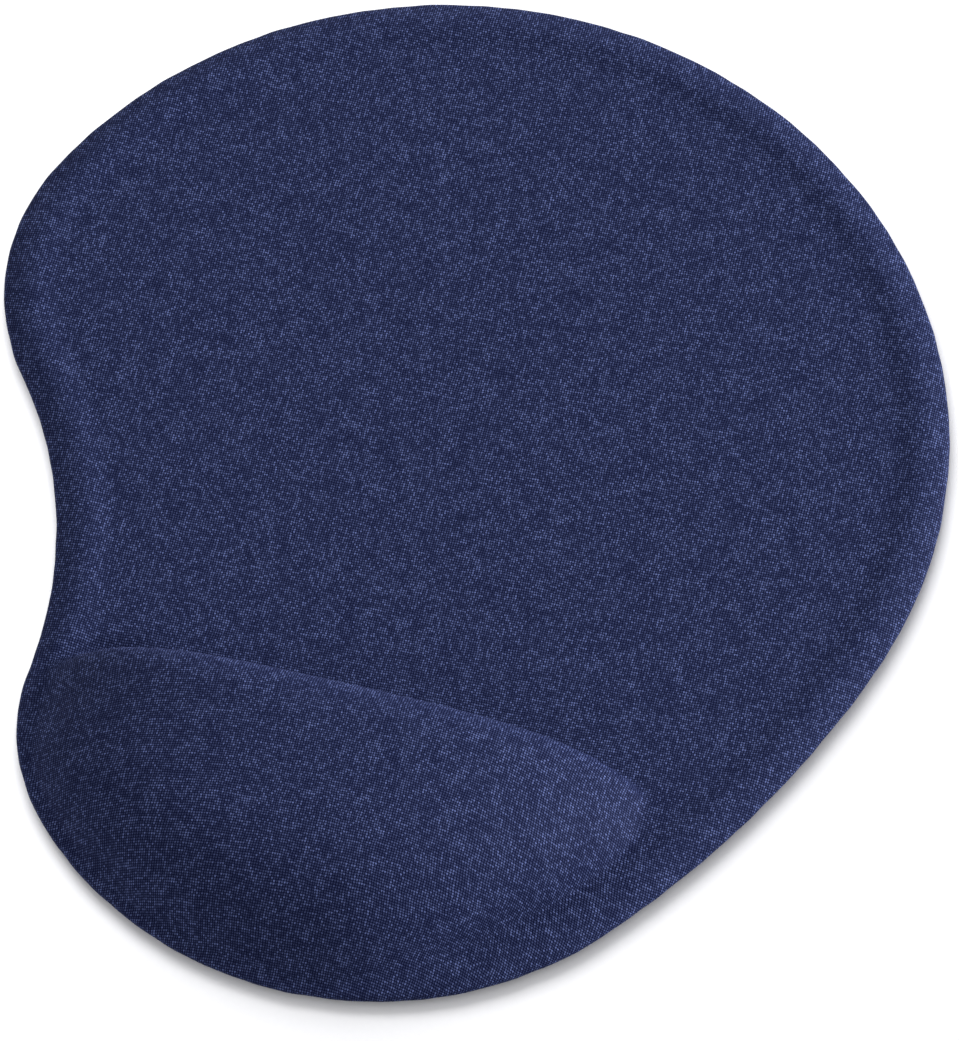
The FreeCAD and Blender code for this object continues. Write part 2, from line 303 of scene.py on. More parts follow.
def rim_sections():
    """Insets and heights of the hem and the roll, then insets of the bevel and the bead."""
    insets = list(np.linspace(HEM_WIDTH, ROLL, HEM_RINGS + 1)[:-1])
    heights = [hem_level] * len(insets)
    for angle in np.linspace(-math.pi / 2, ROLL_END, ROLL_RINGS):
        insets.append(ROLL * (1 - math.cos(angle)))
        heights.append(hem_level + ROLL * (1 + math.sin(angle)))
    return insets, heights, list(np.linspace(insets[-1], FIELD_INSET, BEVEL_RINGS + 1)[1:])


turned_insets, turned_heights, over_insets = rim_sections()
turned_count = len(turned_insets)
ring_insets = turned_insets + over_insets
ring_plans = [edge - outward * inset for inset in ring_insets]
ring_levels = [np.full(around, level) for level in turned_heights]
for plan, inset in zip(ring_plans[turned_count:], over_insets):
    ring_levels.append(face_height(plan[:, 0], plan[:, 1], inset))
ring_count = len(ring_plans)
print("rings:", ring_count)

# %% Field inside the rings
FIELD_STEP = 2.2
CUSHION_STEP = 1.1
# The fine field starts this far behind the cushion.
FINE_BEHIND = 4
# Share of a step that the field keeps clear of the last ring.
CLEARANCE = 0.75


def distance_inside(points):
    """Distance from each point to the outline."""
    tree = kdtree.KDTree(around)
    for place, (x, y) in enumerate(edge):
        tree.insert((x, y, 0), place)
    tree.balance()
    reach = np.empty(len(points))
    for place, (x, y) in enumerate(points):
        _, nearest, _ = tree.find((x, y, 0))
        reach[place] = np.dot(edge[nearest] - (x, y), outward[nearest])
    return reach


def triangle_grid(step, low, high):
    """Points of an even triangular grid in a box."""
    rows = np.arange(low[1], high[1], step * math.sqrt(3) / 2)
    columns = np.arange(low[0], high[0], step)
    x, y = np.meshgrid(columns, rows)
    x = x + (np.arange(len(rows)) % 2)[:, None] * step / 2
    return np.column_stack([x.ravel(), y.ravel()])


def field_points():
    """An even field, finer where the cushion stands."""
    half = np.array([pad_width, pad_length]) / 2
    border = REST_BACK + FINE_BEHIND
    coarse = triangle_grid(FIELD_STEP, -half, half)
    coarse = coarse[coarse[:, 1] > border + FIELD_STEP / 2]
    fine = triangle_grid(CUSHION_STEP, -half, half)
    fine = fine[fine[:, 1] < border]
    points = np.concatenate([coarse, fine])
    margin = np.repeat([CLEARANCE * FIELD_STEP, CLEARANCE * CUSHION_STEP], [len(coarse), len(fine)])
    reach = distance_inside(points)
    keep = reach > FIELD_INSET + margin
    return points[keep], reach[keep]


field, field_reach = field_points()
field_level = face_height(field[:, 0], field[:, 1], field_reach)
print("field:", len(field), "points")


# %% Join rings and field
def ring_quads(count, first=0):
    """Quads between neighbouring rings."""
    ring, place = np.meshgrid(np.arange(count - 1), np.arange(around), indexing="ij")
    after = (place + 1) % around
    quads = np.stack([ring * around + place, ring * around + after,
                      (ring + 1) * around + after, (ring + 1) * around + place], axis=-1)
    return (quads.reshape(-1, 4) + first).tolist()


def inside_ring(places, ring):
    """Whether each place lies inside a closed ring of points."""
    crossed = np.zeros(len(places), bool)
    for (x, y), (next_x, next_y) in zip(ring, np.roll(ring, -1, axis=0)):
        if y == next_y:
            continue
        passes = (y > places[:, 1]) != (next_y > places[:, 1])
        border = x + (places[:, 1] - y) * (next_x - x) / (next_y - y)
        crossed ^= passes & (places[:, 0] < border)
    return crossed


def field_triangles():
    """Triangles inside the last ring, numbered as the net's points are."""
    points = [Vector(p) for p in np.concatenate([ring_plans[-1], field]).tolist()]
    made = geometry.delaunay_2d_cdt(points, [], [list(range(around))], 1, 1e-6, True)
    faces = np.array([[made[3][corner][0] for corner in face] for face in made[2]])
    # The waist is hollow, so triangles that bridge it outside the last ring go.
    middles = np.array(points)[faces].mean(axis=1)
    faces = faces[inside_ring(middles, ring_plans[-1])]
    return (faces + (ring_count - 1) * around).tolist()


net_faces = ring_quads(ring_count) + field_triangles()
ring_points = np.column_stack([np.concatenate(ring_plans), np.concatenate(ring_levels)])
net = np.concatenate([ring_points, np.column_stack([field, field_level])])
net_inset = np.concatenate([np.repeat(ring_insets, around), field_reach])
print("net:", len(net), "points,", len(net_faces), "faces")


# %% [markdown]
# ## From points to a piece
#
# Every layer below is worked out as points and faces first and becomes a mesh
# object last. One function does that, and two read a mesh's places and normals
# back as arrays. A last one turns all faces outwards, which a closed form
# needs before it is remeshed or rendered as gel.

# %% Make a mesh piece
def make_piece(name, points_mm, faces):
    """A smooth-shaded mesh object, in metres, from points in millimetres."""
    mesh = bpy.data.meshes.new(name)
    mesh.from_pydata((np.asarray(points_mm) * MM).tolist(), [], [list(face) for face in faces])
    mesh.polygons.foreach_set("use_smooth", np.ones(len(mesh.polygons), bool))
    mesh.update()
    piece = bpy.data.objects.new(name, mesh)
    bpy.context.scene.collection.objects.link(piece)
    return piece


def read_points(mesh):
    """Vertex places of a mesh, in millimetres."""
    places = np.empty(len(mesh.vertices) * 3, np.float32)
    mesh.vertices.foreach_get("co", places)
    return places.reshape(-1, 3).astype(float) / MM


def read_normals(mesh):
    """The way that the surface faces at each vertex."""
    ways = np.empty(len(mesh.vertices) * 3, np.float32)
    mesh.vertex_normals.foreach_get("vector", ways)
    return ways.reshape(-1, 3).astype(float)


def face_outwards(piece, weld=0.0):
    """Turns all faces outwards, after welding points closer than a distance in millimetres."""
    work = bmesh.new()
    work.from_mesh(piece.data)
    if weld:
        bmesh.ops.remove_doubles(work, verts=work.verts, dist=weld * MM)
        bmesh.ops.dissolve_degenerate(work, edges=work.edges, dist=weld / 10 * MM)
    bmesh.ops.recalc_face_normals(work, faces=work.faces)
    work.to_mesh(piece.data)
    work.free()


# %% [markdown]
# ## The filling
#
# The cushion is soft because its filling is gel in a thin film pouch. A pouch
# isn't a drawn shape: the gel pushes its skin out until the skin is tight. So
# the pouch starts a little slack, is remeshed evenly, and Blender's cloth
# blows it up against a pinned bottom. Its points may move only a little, so
# the cushion keeps the size that the frame gives it.

# %% The slack pouch
# The knit and the film under it, together.
BONDED = 0.75
POUCH_SKIN = 0.3
# Share of its full height that the pouch starts with.
SLACK = 0.93
SPAN_STEPS, CROSS_STEPS = 56, 28
foam_top = DISH_HEIGHT - BONDED
seat = foam_top + POUCH_SKIN


def pouch_plan(depth):
    """Plan points of the pouch, rows across the span, set in by a depth."""
    along = np.sin(np.linspace(-1, 1, SPAN_STEPS + 1) * math.pi / 2)[:, None]
    x = REST_MIDDLE + (REST_HALF - depth) * along
    _, back, foot = cushion_places(x)
    across = (1 - np.cos(np.linspace(0, math.pi, CROSS_STEPS + 1)))[None, :] / 2
    y = (back - depth) * (1 - across) + (foot + depth) * across
    return np.broadcast_to(x, y.shape), y


def lens(name, x, y, top, bottom):
    """A closed form from two faces over the same plan, joined where they meet."""
    points = np.concatenate([np.stack([x, y, top], axis=-1).reshape(-1, 3),
                             np.stack([x, y, bottom], axis=-1).reshape(-1, 3)])
    rows, columns = x.shape
    corner = np.arange(rows * columns).reshape(rows, columns)
    quads = np.stack([corner[:-1, :-1], corner[:-1, 1:],
                      corner[1:, 1:], corner[1:, :-1]], axis=-1).reshape(-1, 4)
    border = np.concatenate([corner[0, :-1], corner[:-1, -1],
                             corner[-1, :0:-1], corner[:0:-1, 0]])
    after = np.roll(border, -1)
    lower = rows * columns
    sides = np.stack([after, border, border + lower, after + lower], axis=-1)
    piece = make_piece(name, points, np.concatenate([quads, quads[:, ::-1] + lower, sides]))
    face_outwards(piece, weld=0.01)
    return piece


gel_x, gel_y = pouch_plan(BONDED + POUCH_SKIN)
gel_room = (REST_TOP - BONDED - POUCH_SKIN - seat) / (REST_TOP - DISH_HEIGHT)
plan_x, plan_y = pouch_plan(0)
gel_swell = cushion_rise(plan_x, plan_y) * gel_room * SLACK
gel = lens("gel_filling", gel_x, gel_y, seat + gel_swell, np.full(gel_x.shape, seat))
print("slack pouch:", len(gel.data.polygons), "faces")


# %% Blow the pouch up
VOXEL = 3.0
PRESSURE = 4.0
FRAMES = 20
# No point moves further than this, in millimetres.
MOST_MOVE = 1.3
# Points this close to the seat are held.
PINNED = 0.8


def apply_modifiers(piece):
    """Replaces a piece's mesh by what its modifiers make of it."""
    view = bpy.context.evaluated_depsgraph_get()
    mesh = bpy.data.meshes.new_from_object(piece.evaluated_get(view))
    piece.modifiers.clear()
    piece.data = mesh


def blow_up(piece):
    """Runs cloth under pressure with the bottom pinned, and caps how far points move."""
    start = read_points(piece.data)
    pin = piece.vertex_groups.new(name="seat")
    pin.add(np.nonzero(start[:, 2] < seat + PINNED)[0].tolist(), 1, "REPLACE")
    cloth = piece.modifiers.new("skin", "CLOTH")
    cloth.settings.use_pressure = True
    cloth.settings.uniform_pressure_force = PRESSURE
    cloth.settings.vertex_group_mass = "seat"
    cloth.settings.effector_weights.gravity = 0
    cloth.point_cache.frame_end = FRAMES
    for step in range(1, FRAMES + 1):
        bpy.context.scene.frame_set(step)
    apply_modifiers(piece)
    bpy.context.scene.frame_set(1)
    move = read_points(piece.data) - start
    reach = np.linalg.norm(move, axis=1)
    print("pouch moves: mean %.2f, most %.2f mm" % (reach.mean(), reach.max()))
    allowed = MOST_MOVE * np.tanh(reach / MOST_MOVE)
    capped = move * (allowed / np.maximum(reach, 1e-6))[:, None]
    piece.data.vertices.foreach_set("co", ((start + capped) * MM).ravel())
    piece.data.update()
    return start, capped


remesh = gel.modifiers.new("even", "REMESH")
remesh.mode = "VOXEL"
remesh.voxel_size = VOXEL * MM
apply_modifiers(gel)
pouch_start, pouch_move = blow_up(gel)
gel.data.polygons.foreach_set("use_smooth", np.ones(len(gel.data.polygons), bool))
gel.modifiers.new("smooth", "SUBSURF").levels = 1

# %% Carry the swelling to the knit
# The knit smooths the pouch's movement over about this distance.
SPREAD = 5.0
# Points are handled in batches, which keeps the table of distances small.
BATCH = 500


def swelling_at(points):
    """The pouch's movement under each point, smoothed as the knit smooths it."""
    free = pouch_start[:, 2] > seat + PINNED
    source, move = pouch_start[free], pouch_move[free]
    result = np.zeros_like(points)
    for first in range(0, len(points), BATCH):
        part = points[first:first + BATCH]
        # Height counts half, because the knit lies a little above the pouch.
        far = ((part[:, None, :] - source[None, :, :]) ** 2 * [1, 1, 0.5]).sum(axis=-1)
        weight = np.exp(-far / (2 * SPREAD ** 2))
        # The added half lets the movement fade out where no pouch is near.
        result[first:first + BATCH] = (weight @ move) / (weight.sum(axis=1, keepdims=True) + 0.5)
    return result


swollen = np.nonzero(net[:, 2] > BEAD_HEIGHT + 0.5)[0]
lift = swelling_at(net[swollen]) * smoothstep((net[swollen, 2] - BEAD_HEIGHT) / 4)[:, None]
net[swollen] += lift
most_lift = np.linalg.norm(lift, axis=1).max()
print("knit lifted by up to %.2f mm, top at %.2f mm" % (most_lift, net[:, 2].max()))

# %% [markdown]
# ## Gathers in the hem
#
# Where the edge bulges, the hem that is turned under has less room than it was
# cut with, so it gathers into small ripples; where the waist is hollow it is
# stretched flat. The ripples show only in the narrow band between the roll and
# the base sheet, which presses the rest flat. They are waves along the edge.

# %% Ripple the hem and the roll
random = np.random.default_rng(11)
base_low, base_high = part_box("base_sheet")
base_inset = (pad_width - (base_high.x - base_low.x) / MM) / 2
# The tighter the edge bends, the deeper the gathers, up to a most.
GATHER, MOST_GATHER = 16.0, 0.3
# Depth of the edge's own unevenness, and the band of insets that shows it.
UNEVEN = 0.07
UNEVEN_INSET, UNEVEN_BAND = 0.3, 3
along_edge = np.arange(around) * EDGE_STEP
edge_length = around * EDGE_STEP


def waves(shortest, longest, count):
    """A sum of waves that close round the edge, about -1 to 1."""
    total = np.zeros(around)
    for length in np.geomspace(shortest, longest, count):
        turns = round(edge_length / length)
        total += np.sin(2 * math.pi * (turns * along_edge / edge_length + random.random()))
    return total / math.sqrt(count)


gathers = np.abs(waves(5.5, 11, 5)) * np.clip(bend * GATHER, 0, MOST_GATHER)
uneven = waves(7, 40, 7) * UNEVEN
for ring, inset in enumerate(ring_insets):
    rows = slice(ring * around, (ring + 1) * around)
    if ring <= HEM_RINGS and inset < base_inset:
        net[rows, 2] -= gathers * math.sin(math.pi * inset / base_inset) ** 0.7
    shown = float(smoothstep(1 - abs(inset - UNEVEN_INSET) / UNEVEN_BAND))
    net[rows, :2] += outward * (uneven * shown)[:, None]
print("gathers up to %.2f mm deep" % gathers.max())

# %% [markdown]
# ## The flat knit
#
# The knit is cut flat, about 4 % small, and stretched over the form, so its
# rows of stitches stay nearly even: they don't bunch on top of the cushion or
# open out on its steep back. Mapping the pattern straight down would smear it
# there. So every point of the net gets its place on the flat cloth: first the
# way over the cushion is laid out straight, then springs as long as the net's
# edges even the places out, and the whole shrinks by the stretch.

# %% Lay the net flat
RELAX_STEPS = 400
EASE = 0.6
# The cloth was laid on a little askew.
GRAIN = math.radians(1.3)
STRETCH = 1.04
# The way over the cushion is measured at stations across it, in short steps.
STATIONS, SHORT_STEP = 88, 0.25


def net_edges(faces, first):
    """Pairs of points along edges and across quads, each once, from a point number on."""
    pairs = [np.array([face, face[1:] + face[:1]]).T for face in faces]
    # Without diagonals a quad could lean freely and the stitches would zigzag.
    pairs += [np.array([face[:2], face[2:]]).T for face in faces if len(face) == 4]
    pairs = np.concatenate(pairs)
    pairs = pairs[(pairs >= first).all(axis=1)]
    return np.unique(np.sort(pairs, axis=1), axis=0)


def extra_length(points):
    """How much longer than level the way over the cushion is, from its back to each point."""
    stations = np.linspace(REST_LEFT, REST_RIGHT, STATIONS + 1)
    lines = np.arange(REST_BACK + 1, -pad_length / 2, -SHORT_STEP)
    rise = cushion_rise(stations[:, None], lines[None, :])
    step = np.hypot(np.diff(rise, axis=1), SHORT_STEP) - SHORT_STEP
    table = np.column_stack([np.zeros(len(stations)), np.cumsum(step, axis=1)])
    column = (points[:, 0] - REST_LEFT) / (REST_RIGHT - REST_LEFT) * STATIONS
    column = np.clip(column, 0, STATIONS - 0.001)
    row = np.clip((lines[0] - points[:, 1]) / SHORT_STEP, 0, len(lines) - 1.001)
    left, top = column.astype(int), row.astype(int)
    right, down = column - left, row - top
    return ((table[left, top] * (1 - down) + table[left, top + 1] * down) * (1 - right)
            + (table[left + 1, top] * (1 - down) + table[left + 1, top + 1] * down) * right)


def lay_flat():
    """Places of the net's points on the cloth before it was stretched."""
    first = (turned_count - 1) * around
    pairs = net_edges(net_faces, first) - first
    flat = net[first:, :2].copy()
    flat[:, 1] -= extra_length(flat)
    length = np.linalg.norm(net[first + pairs[:, 0]] - net[first + pairs[:, 1]], axis=1)
    share = np.bincount(pairs.ravel(), minlength=len(flat))[:, None]
    for _ in range(RELAX_STEPS):
        gap = flat[pairs[:, 1]] - flat[pairs[:, 0]]
        now = np.linalg.norm(gap, axis=1)
        pull = gap * ((now - length) / np.maximum(now, 1e-6))[:, None]
        for axis in (0, 1):
            force = (np.bincount(pairs[:, 0], pull[:, axis], len(flat))
                     - np.bincount(pairs[:, 1], pull[:, axis], len(flat)))
            flat[:, axis] += EASE * force / share[:, 0]
    # The roll and the hem continue straight out from the bevel.
    turned = [flat[:around]]
    for ring in range(turned_count - 2, -1, -1):
        step = np.linalg.norm(net[ring * around:(ring + 1) * around]
                              - net[(ring + 1) * around:(ring + 2) * around], axis=1)
        turned.insert(0, turned[0] + outward * step[:, None])
    return np.concatenate(turned[:-1] + [flat])


flat_net = lay_flat() / STRETCH
turn = np.array([[math.cos(GRAIN), -math.sin(GRAIN)], [math.sin(GRAIN), math.cos(GRAIN)]])
flat_net = flat_net @ turn

# %% [markdown]
# ## The bonded sheets
#
# The knit is 0.6 mm thick, and a hot-melt film of 0.15 mm bonds it to the foam
# and the pouch. Each is a sheet of even thickness over the same net, so each
# is the net set in along its normals, with its thickness given by Solidify.

# %% Knit and film
KNIT = 0.6


def store_flat(piece, places):
    """Keeps each corner's place on the flat cloth, in millimetres, as a UV map."""
    corner = np.empty(len(piece.data.loops), np.int32)
    piece.data.loops.foreach_get("vertex_index", corner)
    layer = piece.data.uv_layers.new(name="cloth")
    layer.data.foreach_set("uv", places[corner].astype(np.float32).ravel())


def thicken(piece, thickness):
    """Gives a sheet its thickness, inwards from its outer face."""
    thick = piece.modifiers.new("thickness", "SOLIDIFY")
    thick.thickness = thickness * MM
    thick.offset = -1
    return piece


cover = thicken(make_piece("knit_cover", net, net_faces), KNIT)
store_flat(cover, flat_net)
inward = -read_normals(cover.data)
film = thicken(make_piece("hot_melt_layer", net + inward * KNIT, net_faces), BONDED - KNIT)
print("upwards share of the last normal:", round(-inward[-1, 2], 3))

# %% Pouch skins
# The upper skin starts where the cushion and the cover have risen this far.
SKIN_RISE, SKIN_HEIGHT = 0.4, 0.6
# Air between the lower skin and what it lies against, so that no faces coincide.
GAP = 0.02


def pouch_skin():
    """The upper skin, from the part of the net that lies on the cushion."""
    risen = cushion_rise(net[:, 0], net[:, 1]) > SKIN_RISE
    on_cushion = risen & (net[:, 2] > DISH_HEIGHT + SKIN_HEIGHT)
    faces = [face for face in net_faces if on_cushion[face].all()]
    used = np.unique(np.concatenate([np.array(face) for face in faces]))
    number = np.full(len(net), -1)
    number[used] = np.arange(len(used))
    faces = [number[face].tolist() for face in faces]
    return make_piece("pouch_upper_skin", (net + inward * BONDED)[used], faces)


upper_skin = thicken(pouch_skin(), POUCH_SKIN)
lower_x, lower_y = pouch_plan(BONDED)
lower_skin = lens("pouch_lower_skin", lower_x, lower_y,
                  np.full(lower_x.shape, seat - GAP), np.full(lower_x.shape, foam_top + GAP))
for skin in (upper_skin, lower_skin):
    print(skin.name + ":", len(skin.data.polygons), "faces")

# %% [markdown]
# ## The foam
#
# The pad itself is a sheet of closed-cell foam about 3 mm thick, moulded with
# the rounded edge, the bead and the dish, and flat where the pouch sits. It is
# the net again without the cushion, set in by knit and film, and closed below
# by a platform that fills the space inside the hem.

# %% Foam block
# The seat for the pouch is cut from this far inside the outline.
SEAT_INSET = DISH_INSET - 6
# Room between the hem's edge and the platform.
HEM_ROOM = 0.15


def foam_block():
    """The net without its cushion, closed by a platform inside the hem."""
    tucked = rim_height(net_inset) - tuck_depth(net[:, 0], net[:, 1], net_inset)
    bare = np.column_stack([net[:, :2], tucked])
    for ring, level in enumerate(turned_heights):
        bare[ring * around:(ring + 1) * around, 2] = level
        bare[ring * around:(ring + 1) * around, :2] = ring_plans[ring]
    turned = np.arange(len(bare)) < turned_count * around
    under = smoothstep(cushion_rise(bare[:, 0], bare[:, 1]) * (net_inset > SEAT_INSET))
    bare[:, 2] -= np.maximum(bare[:, 2] - DISH_HEIGHT, 0) * under * ~turned
    shell = make_piece("foam_shell", bare, net_faces)
    points = bare - read_normals(shell.data) * BONDED
    bpy.data.objects.remove(shell)
    wall = edge - outward * (HEM_WIDTH + HEM_ROOM)
    upper = np.column_stack([wall, np.full(around, hem_level + BONDED)])
    lower = np.column_stack([wall, np.full(around, hem_level)])
    inner = np.column_stack([wall - outward, np.full(around, hem_level)])
    first = len(points)
    faces = net_faces + [quad[::-1] for quad in ring_quads(3, first)]
    place = np.arange(around)
    after = (place + 1) % around
    faces += np.stack([place, first + place, first + after, after], axis=-1).tolist()
    faces.append((first + 2 * around + place).tolist()[::-1])
    piece = make_piece("foam_pad", np.concatenate([points, upper, lower, inner]), faces)
    face_outwards(piece)
    return piece


foam = foam_block()
print("foam:", len(foam.data.polygons), "faces")

# %% [markdown]
# ## Joining the frame
#
# The frame holds one node for each layer. Each piece made here takes its
# node's place and moves with the one body the pad has. The base sheet and its
# film are plain flat layers, so they stay as the frame has them.

# %% Join the frame
for piece, node_name, slot_name in (
        (cover, "cover_fabric", "cover_knit"),
        (film, "fabric_adhesive_film", "hot_melt_film"),
        (foam, "pad_foam", "pad_foam"),
        (gel, "gel_core", "soft_gel"),
        (upper_skin, "gel_film_upper", "pouch_film"),
        (lower_skin, "gel_film_lower", "pouch_film")):
    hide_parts(node_name)
    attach(piece, "root")
    print(piece.name, "stands for", node_name)

# %% [markdown]
# ## Materials
#
# Each material starts from the real one. Colours are written as a painter
# would pick them from a chart, in sRGB, and one function turns them into the
# linear values that light is computed with. A second function adds a node and
# wires it, which keeps each pattern readable as a short list of steps, and all
# patterns end in a share between two colours and, mostly, a height. What is
# the same all over a surface is set directly on its shader.

# %% Helpers for materials
def linear(hex_colour):
    """An sRGB colour as six hex digits, made linear."""
    channels = [int(hex_colour[i:i + 2], 16) / 255 for i in (0, 2, 4)]
    light = [c / 12.92 if c <= 0.04045 else ((c + 0.055) / 1.055) ** 2.4 for c in channels]
    return (*light, 1)


def add(tree, kind, inputs, **settings):
    """Adds a node and gives back its outputs. Inputs are values or other nodes' outputs."""
    node = tree.nodes.new("ShaderNode" + kind)
    for name, value in settings.items():
        setattr(node, name, value)
    for socket, value in (inputs.items() if isinstance(inputs, dict) else enumerate(inputs)):
        if isinstance(value, bpy.types.NodeSocket):
            tree.links.new(value, node.inputs[socket])
        else:
            node.inputs[socket].default_value = value
    return node.outputs


def new_material(name, roughness, ior, **uniform):
    """A new material and its tree, with all that is the same all over set on its shader."""
    material = bpy.data.materials.new(name)
    material.use_nodes = True
    shader = material.node_tree.nodes["Principled BSDF"]
    shader.inputs["Roughness"].default_value = roughness
    shader.inputs["IOR"].default_value = ior
    for socket, value in uniform.items():
        shader.inputs[socket.replace("_", " ")].default_value = value
    return material, material.node_tree


def surface(material, share, colours, height=None, strength=0.0, depth=0.0, invert=False):
    """Colours a surface between two by a share, and raises it by a height of some millimetres."""
    tree = material.node_tree
    shader = tree.nodes["Principled BSDF"]
    low, high = (linear(colour) for colour in colours)
    colour = add(tree, "Mix", {0: share, 6: low, 7: high}, data_type="RGBA")[2]
    tree.links.new(colour, shader.inputs["Base Color"])
    if height is not None:
        relief = add(tree, "Bump", {"Strength": strength, "Distance": depth * MM, "Height": height},
                     invert=invert)[0]
        tree.links.new(relief, shader.inputs["Normal"])
    return material


def dress(material, *pieces):
    """Gives pieces a material in place of any they have."""
    for piece in pieces:
        piece.data.materials.clear()
        piece.data.materials.append(material)
        print("%s: %s, %d nodes" % (piece.name, material.name, len(material.node_tree.nodes)))


# %% [markdown]
# ## Stretch knit
#
# The cover is a jersey of nylon and elastane, knitted on a fine machine and
# dyed navy. Each stitch is a small V of glossy yarn over a dark gap. The
# colour paints shade into the gaps and a highlight onto the yarn, and because
# every loop lies a little differently, a few stitches get a brighter painted
# glint: that is the sparkle of the cloth. Its rows wander a little, as in any
# knit. The pattern is worked out on the flat cloth, so it follows the stretch
# over the cushion; an image of cloth would repeat and show it.

# %% Stitches
# Width and height of one stitch on the flat cloth. Stretched on the pad they
# are 0.54 and 0.57 mm, a fine jersey.
WALE, COURSE = 0.54 / STRETCH, 0.57 / STRETCH
# How far the rows wander, in millimetres, and how many times they do per millimetre.
WANDER, WANDERS_PER_MM = 0.7, 0.12
# The legs of the V, in shares of a stitch: how far from its middle they start,
# how far they part, and half their width.
LEG_START, LEG_LEAN, LEG_WIDTH = 0.07, 0.16, 0.22


def stitch_pattern(tree):
    """Height of the yarn, a random number for the stitch, and places on the cloth."""
    cloth = add(tree, "UVMap", [], uv_map="cloth")[0]
    drift = add(tree, "TexNoise", {"Vector": cloth, "Scale": WANDERS_PER_MM, "Detail": 2.0},
                noise_dimensions="2D")[1]
    drift = add(tree, "VectorMath", [drift, (0.5, 0.5, 0.5)], operation="SUBTRACT")[0]
    placed = add(tree, "VectorMath", [drift, (WANDER, WANDER, 0), cloth], operation="MULTIPLY_ADD")[0]
    stitches = add(tree, "VectorMath", [placed, (WALE, COURSE, 1)], operation="DIVIDE")[0]
    number = add(tree, "VectorMath", [stitches], operation="FLOOR")[0]
    luck = add(tree, "TexWhiteNoise", {"Vector": number}, noise_dimensions="2D")[0]
    inside = add(tree, "VectorMath", [stitches], operation="FRACTION")[0]
    column, row, _ = add(tree, "SeparateXYZ", [inside])
    centred = add(tree, "Math", [column, 0.5], operation="SUBTRACT")[0]
    across = add(tree, "Math", [centred], operation="ABSOLUTE")[0]
    # The two legs of the V part as they rise.
    leg = add(tree, "Math", [row, LEG_LEAN, LEG_START], operation="MULTIPLY_ADD")[0]
    aside = add(tree, "Math", [across, leg], operation="SUBTRACT")[0]
    aside = add(tree, "Math", [aside, LEG_WIDTH], operation="DIVIDE")[0]
    aside = add(tree, "Math", [aside, aside], operation="MULTIPLY")[0]
    yarn = add(tree, "Math", [1.0, aside], operation="SUBTRACT", use_clamp=True)[0]
    # The yarn dives under the next stitch at both ends.
    turn_of_row = add(tree, "Math", [row, math.pi], operation="MULTIPLY")[0]
    arch = add(tree, "Math", [turn_of_row], operation="SINE")[0]
    height = add(tree, "Math", [yarn, arch], operation="MULTIPLY")[0]
    return height, luck, cloth


print("stitches across the pad: about %d" % (pad_width / STRETCH / WALE))

# %% Knit material
# The gaps' colour is navy dye with painted shade; the yarn's is navy dye with a painted highlight.
GAP_DYE_AND_SHADE, YARN_DYE_AND_HIGHLIGHT = "050926", "5d6999"
# Painted glint: most stitches are dull and a few bright, by a power of luck, its span and its least.
LUCK_POWER, GLINT_SPAN, DULLEST = 2.6, 0.74, 0.26
# Faint clouds about 5 mm wide, lighter and darker at random.
CLOUDS_PER_MM, CLOUD_SPAN, CLOUD_LEAST = 0.22, 1.1, 0.45
# Depth of the gaps between stitches, in millimetres.
STITCH_DEPTH = 0.12


def knit_material():
    """Navy dye with painted shade in the gaps and a painted highlight on the yarn, with brighter
    painted glints on a few stitches.
    """
    material, tree = new_material(
        "navy_stretch_knit", 0.55, 1.5, Specular_IOR_Level=0.02,
        Sheen_Weight=0.07, Sheen_Roughness=0.3, Sheen_Tint=linear("9fa6e0"))
    height, luck, cloth = stitch_pattern(tree)
    # A painted glint, brighter on a few stitches.
    painted_glint = add(tree, "Math", [luck, LUCK_POWER], operation="POWER")[0]
    painted_glint = add(tree, "Math", [painted_glint, GLINT_SPAN, DULLEST], operation="MULTIPLY_ADD")[0]
    cloud = add(tree, "TexNoise", {"Vector": cloth, "Scale": CLOUDS_PER_MM, "Detail": 4.0,
                                   "Roughness": 0.65}, noise_dimensions="2D")[0]
    cloud = add(tree, "Math", [cloud, CLOUD_SPAN, CLOUD_LEAST], operation="MULTIPLY_ADD")[0]
    lit = add(tree, "Math", [height, painted_glint], operation="MULTIPLY")[0]
    lit = add(tree, "Math", [lit, cloud], operation="MULTIPLY", use_clamp=True)[0]
    return surface(material, lit, (GAP_DYE_AND_SHADE, YARN_DYE_AND_HIGHLIGHT),
                   height=height, strength=0.5, depth=STITCH_DEPTH)


dress(knit_material(), cover)

# %% [markdown]
# ## Adhesive film
#
# Hot-melt film is a web of copolyamide, milky and a little glossy, that melts
# into both faces when the pad is pressed. It cools uneven: thick threads and
# thin windows between them. A Voronoi pattern of distances to cell edges
# gives such a web directly, where a noise would give only clouds.

# %% Film material
# Cells of the web per millimetre, a thread's half width as a share of a cell,
# and its depth in millimetres.
WEB_PER_MM, THREAD, THREAD_DEPTH = 0.6, 0.25, 0.05


def millimetres(tree):
    """Places on an object without a map, in millimetres."""
    place = add(tree, "TexCoord", [])["Object"]
    return add(tree, "VectorMath", {0: place, "Scale": 1 / MM}, operation="SCALE")[0]


def film_material():
    """Milky threads about 1.7 mm apart, with thinner film between them."""
    material, tree = new_material("hot_melt_film", 0.42, 1.5, Subsurface_Weight=0.2)
    web = add(tree, "TexVoronoi", {"Vector": millimetres(tree), "Scale": WEB_PER_MM},
              feature="DISTANCE_TO_EDGE")[0]
    thread = add(tree, "MapRange", [web, 0.0, THREAD, 1.0, 0.0])[0]
    return surface(material, thread, ("cfcabb", "e6e2d6"),
                   height=thread, strength=0.4, depth=THREAD_DEPTH)


dress(film_material(), film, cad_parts["base_adhesive_film"])

